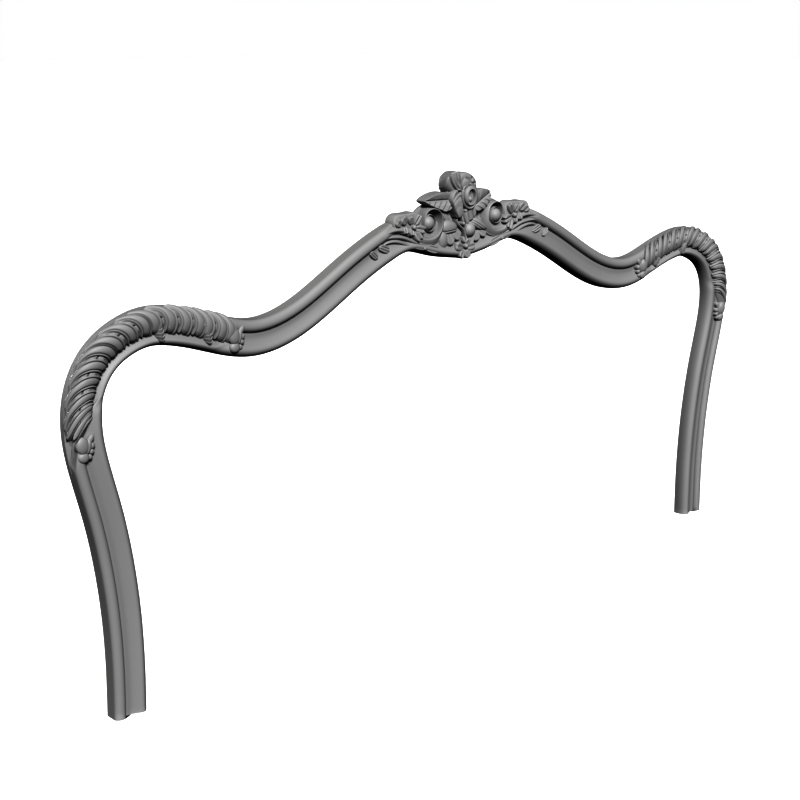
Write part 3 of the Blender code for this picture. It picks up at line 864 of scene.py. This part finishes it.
lips = [
    cord_bar([(-23, 714.5), (-31.5, 710), (-35.5, 701.5), (-30.5, 690), (-24.5, 679), (-19, 671.5)],
             [2.5, 4.5, 5.2, 5.2, 4.5, 3], [30, 32, 32, 31.5, 31, 29], 22),
    cord_bar([(-16, 741), (-15.5, 734), (-15.8, 727)], [3, 5, 3], [29, 31, 29], 22, rows=30),
    cord_bar([(-5.5, 736), (-10.2, 729.5), (-12.2, 722), (-11, 715.5)],
             [3, 5, 5, 3], [29, 31.5, 31.5, 29], 22, rows=40),
    cord_bar([(-1, 681), (-3, 672), (-2, 664), (0.5, 659)],
             [3, 4.2, 4, 2], [28, 29.8, 29.2, 26], 20, rows=40),
]
nub = block((8.5, 698.5), oval((8.5, 698.5), (5.6, 6.4), 5),
            lambda r, out, up: 20 + 10.5 * round_top(r, 2.2), 14, 50, back=3)
beads = [knob(*row) for row in (((9.5, 728.5), 3.4, 33), ((0.5, 692.5), 2.6, 30.5),
                                ((6.5, 689.6), 2.6, 30.5), ((-2, 680.5), 2.8, 30))]
shells("rose", rose_ground, *petals, *lips, nub, *beads)


# %% [markdown]
# Two leaves reach out from under the rose. The upper half of each is one smooth fold. The lower
# half is pleated from the midrib to its scalloped edge, as the leaves on old settee crests are.

# %% The rose's leaves
def saw(value):
    """0.5 - the part over a whole number, which climbs back over its last third."""
    share = value - np.floor(value)
    return 0.5 - share + smoothstep((share - 0.67) / 0.33)


def leaf_front(root, tip, height, pleat, slant, smooth_side):
    """The front of a leaf: two slopes up from the midrib, with pleats on one side.

    d is the distance from the midrib. The smooth half is height - 3.2 + 3.2 * sin(d / 9), with
    faint veins. The pleated half adds 3 * saw((along - slant * d) / pleat), which grows with d.
    """
    root, tip = np.array(root, float), np.array(tip, float)
    way = (tip - root) / np.linalg.norm(tip - root)

    def front(r, out, up):
        along = (out - root[0]) * way[0] + (up - root[1]) * way[1]
        d = ((up - root[1]) * way[0] - (out - root[0]) * way[1]) * smooth_side
        low = height - 3.2
        smooth = low + 3.2 * np.sin(np.clip(d / 9, 0, 1.6)) - 0.1 * np.clip(d - 8, 0, 99)
        veins = saw((along - 0.8 * d) / (1.6 * pleat))
        smooth = smooth + 0.9 * veins * smoothstep(d / 5)
        pleats = saw((along - slant * d) / pleat)
        pleated = low + 0.25 * np.clip(-d, 0, 9) + 3 * pleats * smoothstep(-d / 6)
        return np.where(d > 0, smooth, pleated) - 1.8 * bell(d, 0, 0.9) - rolled(r, 0.06, 1.2)
    return front


leaf_left = block(
    (-57, 698),
    [(-89, 701.5), (-83, 706.5), (-74, 710), (-58, 713.5), (-42, 713), (-31, 708), (-27, 697),
     (-31, 687), (-40, 682.5), (-49, 683), (-56, 686), (-64, 688.5), (-71, 691.5), (-78, 694.5),
     (-84.5, 698)],
    leaf_front((-30, 701), (-88, 702.5), 26.5, 12.5, -0.75, -1), 50, 170, back=1.1)
leaf_right = block(
    (40, 697),
    [(26, 706), (34, 712), (43, 713.5), (53, 711), (61, 705), (60, 697.5), (55, 690), (48, 683),
     (38, 678.5), (27, 677.5), (18, 684), (18, 695)],
    leaf_front((19, 684), (61, 706.5), 26, 10.5, -0.58, 1), 50, 150, back=1.1)
root_left = cord_bar([(-53, 687), (-45, 678), (-36, 668), (-30, 660)],
                     [9, 11, 11, 9], [20, 20.5, 21, 20], 16, fullness=3, back=1.3)
shells("rose_leaves", leaf_left, leaf_right, root_left)

# %% [markdown]
# Under the rose hang two buds: the left one half open, the right one a round ball under a hood.
# Between them a stalk runs down to a small flower on the crown's lower edge.

# %% Buds, stalks and lowest flower
def bud_left_front(r, out, up):
    """A dome with a seam along its lower third."""
    return 20 + 8 * round_top(r, 2.2) - 1.6 * bell(up - 0.1 * (out + 35), 650, 0.9)


def hood_front(r, out, up):
    """A dome that leans to the upper left, with two lines that run with its lower edge."""
    line = up + 0.62 * (out - 30)
    lean = 0.16 * ((out - 30) * 0.5 - (up - 656) * 0.87)
    cuts = bell(line, 651.5, 0.9) + bell(line, 656.5, 0.8)
    return 20.5 + 7 * round_top(r, 2.6) + lean - 1.3 * cuts


buds = [
    block((-33, 655), [(-50.5, 652), (-49.5, 662), (-42, 667), (-31, 666.5), (-21, 662), (-16, 655),
                       (-18, 647.5), (-28, 645), (-43, 645.5)], bud_left_front, 26, 90),
    block((30, 656), [(9, 656), (15, 663.5), (25, 667), (35, 665), (42.5, 657.5), (50, 645.5),
                      (39, 645), (28, 648), (18, 652)], hood_front, 26, 90),
    knob((12, 647.5), 12.4, 31.5, back=2),
    block((-46, 636), [(-52, 650), (-43, 651), (-36, 642), (-35, 630), (-41, 622), (-50, 622),
                       (-55, 630), (-56, 641)],
          lambda r, out, up: 18 + 7 * round_top(r), 16, 60, bowl=0.9),
]
sepals = [petal(*row, notch=0) for row in (
    ((-37, 650), (-29, 626), 22, (21, 26), 0.7),
    ((-27, 650), (-12, 634), 18, (22, 26), 0.7),
    ((-22, 655), (-9, 640), 10, (22, 26), 0.4),
    ((22, 646), (31, 628), 21, (21, 26), 0.8),
    ((30, 646), (50, 635), 15, (21, 26), 0.6),
    ((12, 640), (20, 625), 13, (20, 25), 0.5),
    ((3, 643), (1, 626), 13, (21, 26), 0.6),
)]
stalks = [
    cord_bar([(-18, 668), (-14.5, 659), (-6, 651), (-1, 642), (1, 632)],
             [4, 5, 6, 5.5, 4], [24, 26, 27, 27, 25], 16),
    cord_bar([(5, 666), (2, 658), (0.5, 648)], [4, 5, 3], [25, 27, 26], 17, rows=24),
    knob((-5, 659.5), 3, 29),
]
crown_ground = block((0, 668), oval((0, 668), (52, 34), count=16), flat(13), 3, 72, back=0.8)
low_flower = [petal(*row) for row in (
    ((-1, 619), (-22, 624), 20, (23, 27), 1, 0.05),
    ((2, 620), (9, 633), 14, (23, 27), 0.8, 0),
    ((3, 618), (23, 622), 18, (23, 27), 1.2, 0.08),
    ((-1, 617), (-10, 602), 16, (23, 26), 1, 0.05),
    ((2, 617), (10, 601), 17, (23, 26), 1, 0.05),
)]
shells("buds", crown_ground, *buds, *sepals, *stalks)
shells("lowest_flower", *low_flower, knob((2, 621.5), 4, 29))

# %% [markdown]
# ## Trim of the ropes
# A small flower covers each end of a rope, and two scaly husks with a bead on top hang on its
# inner side. A husk is a bar whose section stays round while rows of scales step along it, which
# no scattered detail would follow as closely.

# %% Rope flowers and husks
def dome(middle, radii, turn, top, rise):
    """An oval dome: top - rise * (1 - sqrt(1 - r ^ 2.4))."""
    return block(middle, oval(middle, radii, turn),
                 lambda r, out, up: top - rise * (1 - round_top(r, 2.4)), 16, 48, back=4)


def rope_flower(x, y):
    """A flower seen from its side: large petals on the outer side and small ones round its eye."""
    return [dome((x + right, y + above), *shape) for right, above, *shape in (
        (4, 5, (10.2, 12.6), -12, 31.5, 5.5),
        (-4.5, 3, (4.8, 11.5), 14, 30.5, 5),
        (3, -12, (9.2, 8.2), 20, 30.5, 6),
        (-9, 12.5, (4.4, 7.6), 35, 29, 3.5),
        (-10.5, 3, (5, 4.8), 0, 29, 4),
        (-9.5, -5, (4.8, 4.2), 20, 28.5, 4),
        (-6.5, -12.5, (4.6, 4.4), 30, 28, 4),
    )]


def husk(top, tip):
    """A hanging husk: a round top, less 1.5 times the part of 4.5 * share + 0.55 * |t| that is over
    a whole number, which makes rows of scales, and less a fine line down its middle."""
    def front(share, t):
        row = 4.5 * share + 0.55 * np.abs(t)
        scale = row - np.floor(row)
        body = 19 + 11.5 * round_top(t, 2.2) * (1 - 0.35 * share ** 3)
        return body - 1.5 * scale - 1 * bell(t, 0, 0.1)
    middle = ((top[0] + tip[0]) / 2 - 0.8, (top[1] + tip[1]) / 2)
    half = [3, 6.4, 7.2, 6.4, 2]
    return bar([top, middle, tip], half, half, front, rows=64, columns=33)


pair("rope_flowers", *rope_flower(726, 417), *rope_flower(469, 532.5))
pair("husks", husk((601, 571), (594, 546)), knob((608, 577), 3.4, 30.5),
     husk((521, 557), (513.5, 531)), knob((525.5, 562), 3.4, 30.5))

# %% [markdown]
# ## Finish
# The carving is sprayed and rubbed down in one satin grey. Paint is thinner on the edges, where
# rubbing has taken it, and pools in the grooves, which are also painted darker as shade and made
# duller. The points' own "hollow" value, worked out above, says where that is. The spray's fine
# skin shows as bump.
# Shader sums are written as plain expressions, through a small class round a socket.

# %% Shader sums as expressions
class Sum:
    """A socket with the signs of arithmetic: each sign adds a Math node."""

    def __init__(self, tree, socket):
        self.tree = tree
        self.socket = socket

    def node(self, kind, output, settings=None, **sockets):
        """What a new node puts out. Its sockets get values or links, by name or by _number."""
        made = self.tree.nodes.new(kind)
        for key, value in (settings or {}).items():
            setattr(made, key, value)
        for key, value in sockets.items():
            target = made.inputs[int(key[1:]) if key[0] == "_" else key]
            if isinstance(value, Sum):
                self.tree.links.new(value.socket, target)
            else:
                target.default_value = value
        return Sum(self.tree, made.outputs[output])

    def math(self, operation, first, second):
        """One Math node, from two numbers or sums."""
        return self.node("ShaderNodeMath", 0, {"operation": operation}, _0=first, _1=second)

    def __add__(self, other):
        return self.math("ADD", self, other)

    __radd__ = __add__

    def __sub__(self, other):
        return self.math("SUBTRACT", self, other)

    def __mul__(self, other):
        return self.math("MULTIPLY", self, other)

    def at_least(self, other):
        return self.math("MAXIMUM", self, other)


# %% Satin grey paint
PAINT = (0.215, 0.215, 0.215, 1)
PAINT_WORN = (0.27, 0.27, 0.268, 1)
# The grooves' colour: pooled paint, darker still as painted shade.
PAINT_SETTLED_AND_SHADED = (0.12, 0.12, 0.121, 1)
# Share of the way: edges towards worn paint, grooves towards pooled paint and painted shade.
WEAR_AND_SHADE = 0.55     # of the way to those colours, on a full edge or in a full groove
ROUGH, GLINT = 0.58, 0.3


def grey_paint():
    """Base colour: paint, towards worn on edges, and in hollows towards pooled paint darkened as
    painted shade. Bump: the spray's skin.
    """
    paint = bpy.data.materials.new("grey_paint")
    paint.use_nodes = True
    tree = paint.node_tree
    shader = tree.nodes["Principled BSDF"]
    start = Sum(tree, None)
    where = start.node("ShaderNodeTexCoord", "Object")
    hollow = start.node("ShaderNodeAttribute", "Fac", {"attribute_name": "hollow"})

    def noise(scale, detail):
        """A noise's value at a place on the piece."""
        return start.node("ShaderNodeTexNoise", "Fac", Vector=where, Scale=scale, Detail=detail)

    def mix(share, first, second):
        """first + share * (second - first), for colours."""
        kind = {"data_type": "RGBA"}
        return start.node("ShaderNodeMix", 2, kind, _0=share, _6=first, _7=second)

    blotch = noise(14, 3)
    # Painted shade: the deeper the groove, the darker the colour, partly pooled paint and partly the
    # shade that falls there.
    settled_and_shaded = hollow.at_least(0) * WEAR_AND_SHADE
    worn = (hollow * -1).at_least(0) * WEAR_AND_SHADE + (blotch - 0.5) * 0.25
    colour = mix(settled_and_shaded, mix(worn.at_least(0), PAINT, PAINT_WORN), PAINT_SETTLED_AND_SHADED)
    tree.links.new(colour.socket, shader.inputs["Base Color"])
    rough = ROUGH + settled_and_shaded * 0.15 + (blotch - 0.5) * 0.1
    tree.links.new(rough.socket, shader.inputs["Roughness"])
    skin = {"Height": noise(900, 2), "Strength": 0.06, "Distance": 0.4 * MM}
    bump = start.node("ShaderNodeBump", "Normal", **skin)
    tree.links.new(bump.socket, shader.inputs["Normal"])
    shader.inputs["Specular IOR Level"].default_value = GLINT
    return paint


satin_grey = grey_paint()
for piece in pieces:
    piece.data.materials.append(satin_grey)

# %% [markdown]
# ## Floor, light and camera
# The piece floats a little over a plain pale floor, as if held up by its wall. One large soft lamp
# stands high on the left in front, as in the picture, with hardly any light from elsewhere, so
# undersides fall dark. A weaker lamp straight behind shows the flat back, and reaches nothing that
# faces forwards.

# %% Floor
FLOOR_REACH, FLOOR_UNDER = 60, 1.3
corners = [(x * FLOOR_REACH, y * FLOOR_REACH, -FLOOR_UNDER)
           for x, y in ((-1, -1), (1, -1), (1, 1), (-1, 1))]
floor_mesh = bpy.data.meshes.new("floor")
floor_mesh.from_pydata(corners, [], [(0, 1, 2, 3)])
floor = link_new("floor", floor_mesh)
floor.visible_diffuse = False
floor.visible_glossy = False
pale = bpy.data.materials.new("pale_floor")
pale.use_nodes = True
pale_shader = pale.node_tree.nodes["Principled BSDF"]
pale_shader.inputs["Base Color"].default_value = (0.92, 0.92, 0.92, 1)
pale_shader.inputs["Roughness"].default_value = 0.9
floor_mesh.materials.append(pale)

# %% Light
SKY_LIGHT, SKY_SEEN = 0.012, 1     # the sky hardly lights the piece, but is seen white
SOFTNESS = radians(16)

world = bpy.data.worlds.new("studio")
bpy.context.scene.world = world
world.use_nodes = True
tree = world.node_tree
sky = tree.nodes["Background"]
sky.inputs["Color"].default_value = (1, 1, 1, 1)
seen = tree.nodes.new("ShaderNodeLightPath")
strength = tree.nodes.new("ShaderNodeMapRange")
tree.links.new(seen.outputs["Is Camera Ray"], strength.inputs["Value"])
strength.inputs["To Min"].default_value = SKY_LIGHT
strength.inputs["To Max"].default_value = SKY_SEEN
tree.links.new(strength.outputs["Result"], sky.inputs["Strength"])


def sun(name, energy, tilt, turn):
    """A soft far lamp that shines down, tilted and then turned by some degrees."""
    light = bpy.data.lights.new(name, "SUN")
    light.energy = energy
    light.angle = SOFTNESS
    link_new(name, light).rotation_euler = (radians(tilt), 0, radians(turn))


sun("key", 9.1, 55.5, -27.5)
sun("behind", 6, -90, 0)

# %% Camera
LENS = 64.5     # mm
STANDS_AT = (-1.667, -1.699, 0.976 - CROWN)
LOOKS_UP, LOOKS_LEFT = -14.67, -42.26     # degrees, from level and from straight ahead

camera_data = bpy.data.cameras.new("camera")
camera_data.lens = LENS
camera = link_new("camera", camera_data)
camera.location = STANDS_AT
camera.rotation_euler = (radians(90 + LOOKS_UP), 0, radians(LOOKS_LEFT))
bpy.context.scene.camera = camera
bpy.context.scene.view_settings.view_transform = "Raw"
